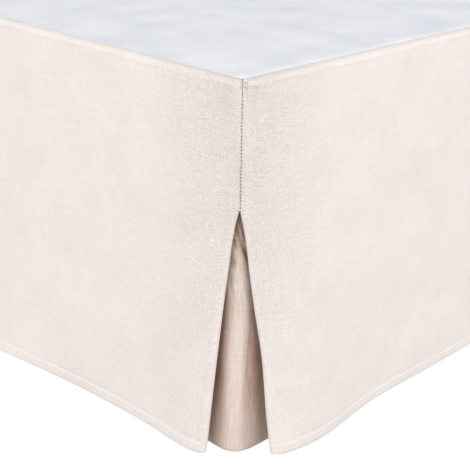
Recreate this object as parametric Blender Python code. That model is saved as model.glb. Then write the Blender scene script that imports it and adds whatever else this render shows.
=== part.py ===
"""Tailored bed skirt with inverted corner pleats, hanging over a plain bed base.

Run with: blender --background --python part.py

Metres, +Z up. The bed lies along Y with its foot at -Y and its open head end at +Y.
The origin is at the bottom centre of the whole object's box, on the floor.

The cloth is worked out from its mid-surface. Across a panel, `run` is the distance along the
skirt's outline from the corner seam, and `out` is how far the cloth stands out from that outline.
Down a panel, `down` is the distance along the cloth from the seam at the top.
"""

import math

import bmesh
import bpy

# Driving dimensions
SKIRT_WIDTH = 1.524
SKIRT_LENGTH = 2.032
DROP = 0.381
HEM_CLEARANCE = 0.006
CLOTH = 0.0012
PIECE_GAP = 0.0004
SEAM_GAP = 0.0007
CORNER_RADIUS = 0.016
CORNER_STEPS = 4

# Top edge: each panel rolls over the edge of the base and ends at the seam with the deck.
ROLL_RADIUS = 0.006
SEAM_LAND = 0.003
ROLL_STEPS = 4
TOP = HEM_CLEARANCE + DROP
ROLL_LENGTH = ROLL_RADIUS * math.pi / 2
DROP_START = SEAM_LAND + ROLL_LENGTH
DROP_END = DROP_START + DROP - ROLL_RADIUS
DROP_ROWS = 8
SEAM_INSET = ROLL_RADIUS + SEAM_LAND

# Corner pleat: sewn shut from the top, then open to the hem.
SLIT_TOP = 0.270
SLIT_SPREAD = 0.042
SLIT_CURVE = 0.80
PLEAT_DEPTH = 0.100
FOLD_RADIUS_TOP = 0.0011
FOLD_RADIUS_HEM = 0.0040
FOLD_STEPS = 6
RETURN_STEPS = 3
RETURN_OUT_TOP = -0.0022
RETURN_OUT_HEM = -0.0034
RETURN_SETTLES_OVER = 0.030

# Pleat insert behind the slit
INSERT_OUT_TOP = -0.0044
INSERT_OUT_HEM = -0.0190
INSERT_END_OUT_HEM = -0.0062
INSERT_RADIUS_HEM = 0.034
INSERT_REACH = 0.108
INSERT_NEAR = 0.055
INSERT_CORNER_STEPS = 8
INSERT_FLANK_STEPS = 4

# How far the hems stand out
FLARE_POWER = 1.35
HEM_FLARE = 0.003
EDGE_CURL = 0.0055
EDGE_CURL_REACH = 0.014
FIRST_COLUMN = 0.009
COLUMN_GROWTH = 1.32
WIDEST_COLUMN = 0.110

# Soft folds of each panel: how far along the edge, how wide, and how far out at the hem.
# The foot panel is measured from its right corner, the side panels from the foot.
ALONG, WIDTH, OUT = 0, 1, 2
FOOT_FOLDS = (
    (0.060, 0.030, 0.004),
    (0.420, 0.110, 0.022),
    (0.830, 0.120, 0.009),
    (1.120, 0.090, 0.016),
    (1.440, 0.045, 0.010),
)
RIGHT_FOLDS = (
    (0.098, 0.052, 0.014),
    (0.290, 0.060, 0.002),
    (0.720, 0.130, 0.015),
    (1.180, 0.150, 0.008),
    (1.660, 0.120, 0.018),
)
LEFT_FOLDS = (
    (0.085, 0.045, 0.012),
    (0.480, 0.120, 0.018),
    (0.960, 0.140, 0.007),
    (1.400, 0.110, 0.016),
    (1.840, 0.070, 0.008),
)

# Deck and bed base
DECK_CORNER_STEPS = 5
BASE_INSET = 0.016
HEAD_INSET = 0.006
BASE_HEIGHT = 0.203
BASE_CORNER_RADIUS = 0.030
BASE_TOP_RADIUS = 0.014
BASE_BOTTOM_RADIUS = 0.005
LEG_TOP_RADIUS = 0.030
LEG_FOOT_RADIUS = 0.024
LEG_SIDES = 24
LEG_EDGE = 0.002
LEG_INSET = 0.110
BASE_TOP = TOP - CLOTH / 2 - PIECE_GAP
BASE_BOTTOM = BASE_TOP - BASE_HEIGHT

SKIRT_COLOUR = (0.86, 0.80, 0.76)
DECK_COLOUR = (0.84, 0.86, 0.89)
TICKING_COLOUR = (0.72, 0.70, 0.66)
LEG_COLOUR = (0.45, 0.30, 0.18)


def clear_scene():
    """Removes the startup objects."""
    for obj in list(bpy.data.objects):
        bpy.data.objects.remove(obj)


def make_material(name, colour, roughness):
    """A plain Principled material."""
    material = bpy.data.materials.new(name)
    material.use_nodes = True
    shader = material.node_tree.nodes["Principled BSDF"]
    shader.inputs["Base Color"].default_value = (*colour, 1.0)
    shader.inputs["Roughness"].default_value = roughness
    shader.inputs["Metallic"].default_value = 0.0
    return material


def ease(t):
    """Smooth step from 0 to 1."""
    t = min(max(t, 0.0), 1.0)
    return t * t * (3 - 2 * t)


def mix(start, end, t):
    """The value a share t of the way from start to end."""
    return start + (end - start) * t


def profile(down):
    """Inset from the outline, height and tilt of the cloth's normal, a distance down from the seam."""
    if down <= SEAM_LAND:
        return SEAM_INSET - down, TOP, math.pi / 2
    if down < DROP_START:
        tilt = math.pi / 2 - (down - SEAM_LAND) / ROLL_RADIUS
        inset = ROLL_RADIUS * (1 - math.cos(tilt))
        return inset, TOP - ROLL_RADIUS * (1 - math.sin(tilt)), tilt
    return 0.0, TOP - ROLL_RADIUS - (down - DROP_START), 0.0


def cloth_rows():
    """Distances down the cloth: the land, the roll and then the drop."""
    rows = [0.0]
    rows += [SEAM_LAND + ROLL_LENGTH * step / ROLL_STEPS for step in range(ROLL_STEPS + 1)]
    rows += [mix(DROP_START, DROP_END, step / DROP_ROWS) for step in range(1, DROP_ROWS + 1)]
    return rows


def dropped(down):
    """Share of the drop, from 0 at the roll to 1 at the hem."""
    return max(down - DROP_START, 0.0) / (DROP_END - DROP_START)


def slit_edge(down):
    """Distance from the corner seam to the panel's edge: zero where the pleat is sewn shut."""
    height = profile(down)[1]
    opened = max(SLIT_TOP - height, 0.0) / (SLIT_TOP - HEM_CLEARANCE)
    return SLIT_SPREAD * opened**SLIT_CURVE


def hem_out(along, folds):
    """How far a panel's hem stands out, from its table of soft folds."""
    out = HEM_FLARE
    for fold in folds:
        out += fold[OUT] * math.exp(-0.5 * ((along - fold[ALONG]) / fold[WIDTH]) ** 2)
    return out


def corner_point(run, out, down, radius=CORNER_RADIUS):
    """(distance along the edge from the square corner, distance inboard of the edge, height)."""
    inset, height, tilt = profile(down)
    inboard = inset - out * math.cos(tilt)
    height += out * math.sin(tilt)
    half_arc = radius * math.pi / 4
    if run >= half_arc:
        return radius + run - half_arc, inboard, height
    turned = math.pi / 4 * (1 - run / half_arc)
    reach = radius - inboard
    return radius - reach * math.sin(turned), radius - reach * math.cos(turned), height


def panel_out(run, down, folds, edge=None, from_start=True, length=0.0):
    """How far a panel stands out, curling back in towards the edge of its slit."""
    along = run if from_start else length - run
    out = hem_out(along, folds)
    if edge is not None:
        out -= EDGE_CURL * math.exp(-max(run - edge, 0.0) / EDGE_CURL_REACH)
    return out * dropped(down) ** FLARE_POWER


def pleat_columns(down, folds, from_start, length):
    """(run, out) across a corner: the return behind the panel, the fold, and the panel's edge."""
    share = dropped(down)
    radius = mix(FOLD_RADIUS_TOP, FOLD_RADIUS_HEM, share)
    stretch = CORNER_RADIUS / (CORNER_RADIUS - profile(down)[0])
    edge = slit_edge(down)
    face_out = panel_out(edge, down, folds, edge, from_start, length)
    centre_run = edge + stretch * ((CLOTH + SEAM_GAP) / 2 + radius)
    back_out = face_out - 2 * radius
    settled = mix(RETURN_OUT_TOP, RETURN_OUT_HEM, share)
    columns = []
    for distance in return_spacing()[::-1]:
        run = mix(centre_run, PLEAT_DEPTH, distance / PLEAT_DEPTH)
        out = mix(back_out, settled, ease((run - centre_run) / RETURN_SETTLES_OVER))
        columns.append((run, out))
    for step in range(FOLD_STEPS + 1):
        angle = math.pi * step / FOLD_STEPS
        run = centre_run - stretch * radius * math.sin(angle)
        columns.append((run, face_out - radius - radius * math.cos(angle)))
    return columns


def corner_spacing():
    """Distances to the columns that carry cloth round half of a corner."""
    half_arc = CORNER_RADIUS * math.pi / 4
    return [half_arc * step / CORNER_STEPS for step in range(1, CORNER_STEPS + 1)]


def return_spacing():
    """Distances from the corner to a return's columns."""
    near = corner_spacing()
    return near + [mix(near[-1], PLEAT_DEPTH, (step / RETURN_STEPS) ** 1.4) for step in range(1, RETURN_STEPS + 1)]


def panel_spacing(length):
    """Distances from a corner to a panel's columns, close near the corner and wide beyond it."""
    found = corner_spacing()
    step = FIRST_COLUMN
    run = found[-1] + step
    while run < length:
        found.append(run)
        step = min(step * COLUMN_GROWTH, WIDEST_COLUMN)
        run += step
    return found


def side_panel_columns(down, folds):
    """(run, out) from the return at the foot corner to the open head end."""
    columns = pleat_columns(down, folds, True, 0.0)
    first = columns[-1][0]
    head = SKIRT_LENGTH - CORNER_RADIUS + CORNER_RADIUS * math.pi / 4
    spacing = [s for s in panel_spacing(head) if s < head - WIDEST_COLUMN / 2] + [head]
    for distance in spacing:
        run = mix(first, head, distance / head)
        columns.append((run, panel_out(run, down, folds, slit_edge(down))))
    return columns


def foot_panel_half(down, folds, from_start, length):
    """(run, out) from one corner's return to the middle of the foot panel."""
    columns = pleat_columns(down, folds, from_start, length)
    first = columns[-1][0]
    middle = length / 2
    spacing = [s for s in panel_spacing(middle) if s < middle - WIDEST_COLUMN / 2] + [middle]
    for distance in spacing:
        run = mix(first, middle, distance / middle)
        out = panel_out(run, down, folds, slit_edge(down), from_start, length)
        columns.append((run, out))
    return columns


def insert_columns(down):
    """(run, out, side) across a pleat insert, round the corner from the foot to the side."""
    share = dropped(down)
    near = mix(INSERT_OUT_TOP, INSERT_OUT_HEM, share)
    far = mix(INSERT_OUT_TOP, INSERT_END_OUT_HEM, share)
    half_arc = insert_radius(down) * math.pi / 4
    runs = [half_arc * step / (INSERT_CORNER_STEPS / 2) for step in range(INSERT_CORNER_STEPS // 2 + 1)]
    for step in range(1, INSERT_FLANK_STEPS + 1):
        runs.append(mix(half_arc, INSERT_REACH, step / INSERT_FLANK_STEPS))
    outs = [mix(near, far, ease((run - INSERT_NEAR) / (INSERT_REACH - INSERT_NEAR))) for run in runs]
    columns = [(run, out, "foot") for run, out in zip(runs[:0:-1], outs[:0:-1])]
    columns += [(run, out, "side") for run, out in zip(runs, outs)]
    return columns


def insert_radius(down):
    """Corner radius of the outline that an insert follows, growing towards the hem."""
    return mix(CORNER_RADIUS, INSERT_RADIUS_HEM, dropped(down))


def foot_xy(along, inboard, hand):
    """A place on the foot edge, measured from the corner on that hand: 1 right, -1 left."""
    return hand * (SKIRT_WIDTH / 2 - along), -SKIRT_LENGTH / 2 + inboard


def side_xy(along, inboard, hand):
    """A place on a side edge, measured from its foot corner."""
    return hand * (SKIRT_WIDTH / 2 - inboard), -SKIRT_LENGTH / 2 + along


def sheet(name, rows, material):
    """Cloth of even thickness round a mid-surface, given as rows of points."""
    shape = bmesh.new()
    grid = [[shape.verts.new(point) for point in row] for row in rows]
    for upper, lower in zip(grid, grid[1:]):
        for index in range(len(upper) - 1):
            shape.faces.new((upper[index], lower[index], lower[index + 1], upper[index + 1]))
    mesh = bpy.data.meshes.new(name)
    shape.to_mesh(mesh)
    shape.free()
    obj = bpy.data.objects.new(name, mesh)
    bpy.context.collection.objects.link(obj)
    thickness = obj.modifiers.new("cloth_thickness", "SOLIDIFY")
    thickness.thickness = CLOTH
    thickness.offset = 0.0
    thickness.use_even_offset = True
    thickness.use_quality_normals = True
    mesh.materials.append(material)
    mesh.shade_smooth()
    return obj


def side_panel(name, hand, folds, material):
    """One long drop panel with its folded return at the foot corner."""
    rows = []
    for down in cloth_rows():
        row = []
        for run, out in side_panel_columns(down, folds):
            along, inboard, height = corner_point(run, out, down)
            row.append((*side_xy(along, inboard, hand), height))
        rows.append(row)
    return sheet(name, rows, material)


def foot_panel(name, folds, material):
    """The drop panel across the foot, with a folded return at each corner."""
    corner_gain = 2 * CORNER_RADIUS * (1 - math.pi / 4)
    length = SKIRT_WIDTH - corner_gain
    rows = []
    for down in cloth_rows():
        right = foot_panel_half(down, folds, True, length)
        left = foot_panel_half(down, folds, False, length)
        row = []
        for run, out in right:
            along, inboard, height = corner_point(run, out, down)
            row.append((*foot_xy(along, inboard, 1), height))
        for run, out in left[-2::-1]:
            along, inboard, height = corner_point(run, out, down)
            row.append((*foot_xy(along, inboard, -1), height))
        rows.append(row)
    return sheet(name, rows, material)


def pleat_insert(name, hand, material):
    """The piece behind a slit, wrapped round the corner of the base."""
    rows = []
    for down in cloth_rows():
        row = []
        for run, out, side in insert_columns(down):
            along, inboard, height = corner_point(run, out, down, insert_radius(down))
            place = foot_xy if side == "foot" else side_xy
            row.append((*place(along, inboard, hand), height))
        rows.append(row)
    return sheet(name, rows, material)


def deck(material):
    """The flat platform sewn inside the three panels, open at the head."""
    inset = SEAM_INSET + PIECE_GAP
    radius = CORNER_RADIUS - inset
    outline = []
    for hand in (-1, 1):
        corner = []
        for step in range(DECK_CORNER_STEPS + 1):
            angle = math.pi / 2 * step / DECK_CORNER_STEPS
            x = hand * (SKIRT_WIDTH / 2 - inset - radius * (1 - math.cos(angle)))
            y = -SKIRT_LENGTH / 2 + inset + radius * (1 - math.sin(angle))
            corner.append((x, y))
        outline += corner if hand < 0 else corner[::-1]
    head = SKIRT_LENGTH / 2
    outline += [(SKIRT_WIDTH / 2 - inset, head), (-SKIRT_WIDTH / 2 + inset, head)]
    shape = bmesh.new()
    under = shape.faces.new([shape.verts.new((x, y, TOP - CLOTH / 2)) for x, y in outline])
    raised = bmesh.ops.extrude_face_region(shape, geom=[under])["geom"]
    lifted = [item for item in raised if isinstance(item, bmesh.types.BMVert)]
    bmesh.ops.translate(shape, verts=lifted, vec=(0, 0, CLOTH))
    bmesh.ops.recalc_face_normals(shape, faces=shape.faces)
    return object_from(shape, "deck", material)


def object_from(shape, name, material):
    """A new object holding a finished bmesh."""
    mesh = bpy.data.meshes.new(name)
    shape.to_mesh(mesh)
    shape.free()
    mesh.materials.append(material)
    obj = bpy.data.objects.new(name, mesh)
    bpy.context.collection.objects.link(obj)
    return obj


def edges_where(shape, test):
    """Edges both of whose ends pass a test."""
    return [edge for edge in shape.edges if all(test(vert.co) for vert in edge.verts)]


def bed_base(material):
    """The upholstered base that the deck lies on, with rounded edges."""
    width = SKIRT_WIDTH - 2 * BASE_INSET
    foot = -SKIRT_LENGTH / 2 + BASE_INSET
    head = SKIRT_LENGTH / 2 - HEAD_INSET
    shape = bmesh.new()
    bmesh.ops.create_cube(shape, size=1.0)
    bmesh.ops.scale(shape, verts=shape.verts, vec=(width, head - foot, BASE_HEIGHT))
    upright = [e for e in shape.edges if abs(e.verts[0].co.z - e.verts[1].co.z) > BASE_HEIGHT / 2]
    bmesh.ops.bevel(shape, geom=upright, offset=BASE_CORNER_RADIUS, segments=5, profile=0.5, affect="EDGES")
    half = BASE_HEIGHT / 2
    upper = edges_where(shape, lambda co: co.z > half - 1e-5)
    bmesh.ops.bevel(shape, geom=upper, offset=BASE_TOP_RADIUS, segments=4, profile=0.5, affect="EDGES")
    lower = edges_where(shape, lambda co: co.z < -half + 1e-5)
    bmesh.ops.bevel(shape, geom=lower, offset=BASE_BOTTOM_RADIUS, segments=2, profile=0.5, affect="EDGES")
    bmesh.ops.recalc_face_normals(shape, faces=shape.faces)
    obj = object_from(shape, "bed_base", material)
    obj.location = (0, (head + foot) / 2, BASE_BOTTOM + half)
    return obj


def leg_mesh(material):
    """A plain turned leg, tapering to its foot, with its centre at half height."""
    height = BASE_BOTTOM - PIECE_GAP
    shape = bmesh.new()
    bmesh.ops.create_cone(
        shape,
        cap_ends=True,
        segments=LEG_SIDES,
        radius1=LEG_FOOT_RADIUS,
        radius2=LEG_TOP_RADIUS,
        depth=height,
    )
    foot_edges = edges_where(shape, lambda co: co.z < 0)
    bmesh.ops.bevel(shape, geom=foot_edges, offset=LEG_EDGE, segments=2, profile=0.5, affect="EDGES")
    mesh = bpy.data.meshes.new("leg")
    shape.to_mesh(mesh)
    shape.free()
    mesh.materials.append(material)
    mesh.shade_smooth()
    mesh.set_sharp_from_angle(angle=math.radians(40))
    return mesh


def legs(material):
    """Six legs: one near each corner and one midway along each side."""
    mesh = leg_mesh(material)
    reach_x = SKIRT_WIDTH / 2 - LEG_INSET
    reach_y = SKIRT_LENGTH / 2 - LEG_INSET
    height = BASE_BOTTOM - PIECE_GAP
    made = []
    for place_y, where in ((-reach_y, "foot"), (0.0, "middle"), (reach_y, "head")):
        for hand, side in ((-1, "left"), (1, "right")):
            obj = bpy.data.objects.new(f"leg_{where}_{side}", mesh)
            bpy.context.collection.objects.link(obj)
            obj.location = (hand * reach_x, place_y, height / 2)
            made.append(obj)
    return made


def centre_on_origin(objects):
    """Moves everything so that the origin is at the bottom centre of the whole box."""
    graph = bpy.context.evaluated_depsgraph_get()
    corners = []
    for obj in objects:
        evaluated = obj.evaluated_get(graph)
        corners += [evaluated.matrix_world @ vert.co for vert in evaluated.data.vertices]
    middle = [(min(c[axis] for c in corners) + max(c[axis] for c in corners)) / 2 for axis in (0, 1)]
    for obj in objects:
        obj.location.x -= middle[0]
        obj.location.y -= middle[1]


def main():
    """Builds every piece."""
    clear_scene()
    skirt_cloth = make_material("skirt_cloth", SKIRT_COLOUR, 0.85)
    deck_cloth = make_material("deck_cloth", DECK_COLOUR, 0.8)
    ticking = make_material("base_ticking", TICKING_COLOUR, 0.9)
    leg_wood = make_material("leg_wood", LEG_COLOUR, 0.5)
    made = [
        foot_panel("foot_panel", FOOT_FOLDS, skirt_cloth),
        side_panel("side_panel_right", 1, RIGHT_FOLDS, skirt_cloth),
        side_panel("side_panel_left", -1, LEFT_FOLDS, skirt_cloth),
        pleat_insert("pleat_insert_right", 1, skirt_cloth),
        pleat_insert("pleat_insert_left", -1, skirt_cloth),
        deck(deck_cloth),
        bed_base(ticking),
        *legs(leg_wood),
    ]
    bpy.context.view_layer.update()
    centre_on_origin(made)


if __name__ == "__main__":
    main()
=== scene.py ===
"""A tailored bed skirt with inverted corner pleats, hanging over a plain bed base.

The cloth is cut, folded and sewn here as it is on the real thing. Across a panel, `run` is the
distance along the skirt's outline from the corner seam, `out` is how far the cloth stands out from
that outline, and `down` is the distance along the cloth from the seam with the deck.
"""

import logging
import math
from dataclasses import dataclass
from enum import Enum
from typing import Any, Callable, Sequence, Union

import bpy
import numpy as np
from mathutils import Matrix, Vector


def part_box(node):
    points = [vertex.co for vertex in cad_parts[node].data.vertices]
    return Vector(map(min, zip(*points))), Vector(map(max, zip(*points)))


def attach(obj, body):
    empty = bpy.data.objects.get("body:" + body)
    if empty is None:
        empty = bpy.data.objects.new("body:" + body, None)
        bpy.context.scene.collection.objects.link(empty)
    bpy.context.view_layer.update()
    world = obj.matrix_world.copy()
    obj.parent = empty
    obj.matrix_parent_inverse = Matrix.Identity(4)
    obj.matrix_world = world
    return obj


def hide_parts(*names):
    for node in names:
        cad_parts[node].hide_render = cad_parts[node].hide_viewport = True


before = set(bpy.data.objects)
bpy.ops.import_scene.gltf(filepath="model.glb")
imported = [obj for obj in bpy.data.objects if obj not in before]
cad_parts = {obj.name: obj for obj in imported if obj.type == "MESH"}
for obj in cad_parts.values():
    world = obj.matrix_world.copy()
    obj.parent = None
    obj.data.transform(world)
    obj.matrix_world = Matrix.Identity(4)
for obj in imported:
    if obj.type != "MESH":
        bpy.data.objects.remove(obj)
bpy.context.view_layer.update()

BODY = "root"
CLOTH_UV = "cloth"
# Distance from the corner seam on a panel; on a pleat insert, its share of painted shade.
SEAM_AND_SHADE_ATTRIBUTE = "from_seam_and_painted_shade"
DOWN_ATTRIBUTE = "from_top"

log = logging.getLogger("bed_skirt")
Array = np.ndarray
Number = Union[float, Array]


# --------------------------------------------------------------------------- shared maths


def ease(share: Number) -> Number:
    """A smooth step.

    Args:
        share: Any number; it is held between 0 and 1.

    Returns:
        0 to 1, level at both ends.
    """
    share = np.clip(share, 0.0, 1.0)
    return share * share * (3 - 2 * share)


def mix(start: Number, end: Number, share: Number) -> Number:
    """The value a share of the way from start to end."""
    return start + (end - start) * share


def bell(distance: Number, width: float) -> Number:
    """A soft hump: 1 in the middle, and about 0.6 at one width from it."""
    return np.exp(-0.5 * (distance / width) ** 2)


@dataclass(frozen=True)
class Unevenness:
    """Smooth random humps in a cloth, the same at each run."""

    seed: int
    along: float
    down: float
    height: float
    cells: int = 97

    def at(self, along: Number, down: Number) -> Array:
        """Height of the humps.

        Args:
            along: Distances along the cloth's edge.
            down: Distances down the cloth.

        Returns:
            Heights, between minus and plus the full height.
        """
        lattice = np.random.default_rng(self.seed).uniform(-1, 1, (self.cells, self.cells))
        x, y = np.broadcast_arrays(along / self.along, down / self.down)
        column, row = np.floor(x).astype(int), np.floor(y).astype(int)
        across, below = ease(x - column), ease(y - row)

        def corner(right: int, lower: int) -> Array:
            """Lattice values at one corner of each cell."""
            return lattice[(column + right) % self.cells, (row + lower) % self.cells]

        upper = mix(corner(0, 0), corner(1, 0), across)
        lower = mix(corner(0, 1), corner(1, 1), across)
        return self.height * mix(upper, lower, below)


@dataclass(frozen=True)
class SoftFold:
    """A broad fold in a hanging panel: where along its edge, how wide, and how far out at the hem."""

    along: float
    width: float
    out: float

    def at(self, along: Number) -> Number:
        """How far the hem stands out at a distance along the edge."""
        return self.out * bell(along - self.along, self.width)


@dataclass(frozen=True)
class Dent:
    """A small hollow, or a bump where the depth is negative, leaning by a slope."""

    along: float
    down: float
    wide: float
    tall: float
    depth: float
    lean: float = 0.0

    def at(self, along: Number, down: Number) -> Number:
        """How far the cloth stands out here."""
        across = along - self.along - self.lean * (down - self.down)
        return -self.depth * bell(across, self.wide) * bell(down - self.down, self.tall)


# --------------------------------------------------------------------------- shader writing


class Socket:
    """A value in a material. Python's operators on it add Math nodes."""

    def __init__(self, nodes: "Nodes", socket: bpy.types.NodeSocket) -> None:
        """Wraps an output socket of a material's nodes."""
        self.nodes = nodes
        self.socket = socket

    def __add__(self, other: Any) -> "Socket":
        """self + other."""
        return self.nodes.maths("ADD", self, other)

    def __sub__(self, other: Any) -> "Socket":
        """self - other."""
        return self.nodes.maths("SUBTRACT", self, other)

    def __rsub__(self, other: Any) -> "Socket":
        """other - self."""
        return self.nodes.maths("SUBTRACT", other, self)

    def __mul__(self, other: Any) -> "Socket":
        """self * other."""
        return self.nodes.maths("MULTIPLY", self, other)

    def __truediv__(self, other: Any) -> "Socket":
        """self / other."""
        return self.nodes.maths("DIVIDE", self, other)

    __radd__ = __add__
    __rmul__ = __mul__


class Nodes:
    """The node tree of one Principled material."""

    def __init__(self, name: str) -> None:
        """Makes the material with its shader and output.

        Args:
            name: The material's name.
        """
        self.material = bpy.data.materials.new(name)
        self.material.use_nodes = True
        self.tree = self.material.node_tree
        self.shader = self.tree.nodes["Principled BSDF"]

    def node(self, kind: str, settings: dict | None = None, inputs: dict | None = None) -> bpy.types.Node:
        """Adds a node.

        Args:
            kind: The node's type, without the ShaderNode prefix.
            settings: The node's own settings, set before its sockets.
            inputs: Values or links by socket name or number.

        Returns:
            The new node.
        """
        made = self.tree.nodes.new(f"ShaderNode{kind}")
        for setting, value in (settings or {}).items():
            setattr(made, setting, value)
        for socket, value in (inputs or {}).items():
            self.feed(made.inputs[socket], value)
        return made

    def feed(self, socket: bpy.types.NodeSocket, value: Any) -> None:
        """Sets a socket to a value, or links it.

        Args:
            socket: The input to feed.
            value: A link, a colour or a number.
        """
        if isinstance(value, Socket):
            self.tree.links.new(value.socket, socket)
        else:
            socket.default_value = value

    def get(
        self, kind: str, output: str | int, settings: dict | None = None, inputs: dict | None = None
    ) -> Socket:
        """Adds a node and returns one of its outputs."""
        return Socket(self, self.node(kind, settings, inputs).outputs[output])

    def maths(self, operation: str, first: Any, second: Any = 0.0) -> Socket:
        """Adds a Math node."""
        return self.get("Math", 0, {"operation": operation}, {0: first, 1: second})

    def clamped(self, value: Socket) -> Socket:
        """The value, held between 0 and 1."""
        return self.get("Clamp", 0, None, {0: value})

    def attribute(self, name: str) -> Socket:
        """A value stored on the cloth's points."""
        return self.get("Attribute", "Fac", {"attribute_name": name})

    def axes(self, place: Socket) -> list[Socket]:
        """The three numbers of a vector."""
        parts = self.node("SeparateXYZ", None, {0: place})
        return [Socket(self, output) for output in parts.outputs]

    def wave(self, phase: Socket) -> Socket:
        """A sine from -1 to 1, one turn for each unit of phase."""
        return self.maths("SINE", phase * math.tau)

    def falloff(self, distance: Socket, reach: float) -> Socket:
        """1 at no distance, easing to 0 at the reach.

        Args:
            distance: How far away a place lies.
            reach: Where it has died away.

        Returns:
            1 near by, 0 from the reach on.
        """
        settings = {"interpolation_type": "SMOOTHSTEP"}
        inputs = {"Value": distance, "From Min": 0.0, "From Max": reach, "To Min": 1.0, "To Max": 0.0}
        return self.get("MapRange", "Result", settings, inputs)

    def point(self, x: Any, y: Any, z: Any = 0.0) -> Socket:
        """A vector from three numbers."""
        return self.get("CombineXYZ", 0, None, {0: x, 1: y, 2: z})

    def noise(self, place: Socket, scale: float, detail: float = 2.0, roughness: float = 0.5) -> Socket:
        """Noise centred on 0, from about -0.5 to 0.5."""
        inputs = {"Vector": place, "Scale": scale, "Detail": detail, "Roughness": roughness}
        return self.get("TexNoise", 0, {"noise_dimensions": "3D"}, inputs) - 0.5

    def blend(self, share: Any, first: Any, second: Any) -> Socket:
        """A mix of two colours.

        Args:
            share: How much of the second colour.
            first: A colour with alpha, or a link.
            second: A colour with alpha, or a link.

        Returns:
            The mixed colour.
        """
        made = self.node("Mix", {"data_type": "RGBA"}, {0: share})
        self.feed(made.inputs[6], first)
        self.feed(made.inputs[7], second)
        return Socket(self, made.outputs[2])

    def bump(self, height: Socket, strength: float, distance: float) -> None:
        """Feeds a bump to the shader's normal."""
        inputs = {"Height": height, "Strength": strength, "Distance": distance}
        self.feed(self.shader.inputs["Normal"], self.get("Bump", 0, None, inputs))

    def finish(self, values: dict[str, Any]) -> bpy.types.Material:
        """Feeds the shader's inputs by name, and returns the material.

        Args:
            values: Links, colours or numbers, by the input's name.

        Returns:
            The finished material.
        """
        for name, value in values.items():
            self.feed(self.shader.inputs[name], value)
        return self.material


Colour = tuple[float, float, float]


def opaque(colour: Colour) -> tuple[float, float, float, float]:
    """The colour with full alpha."""
    return (*colour, 1.0)


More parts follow.
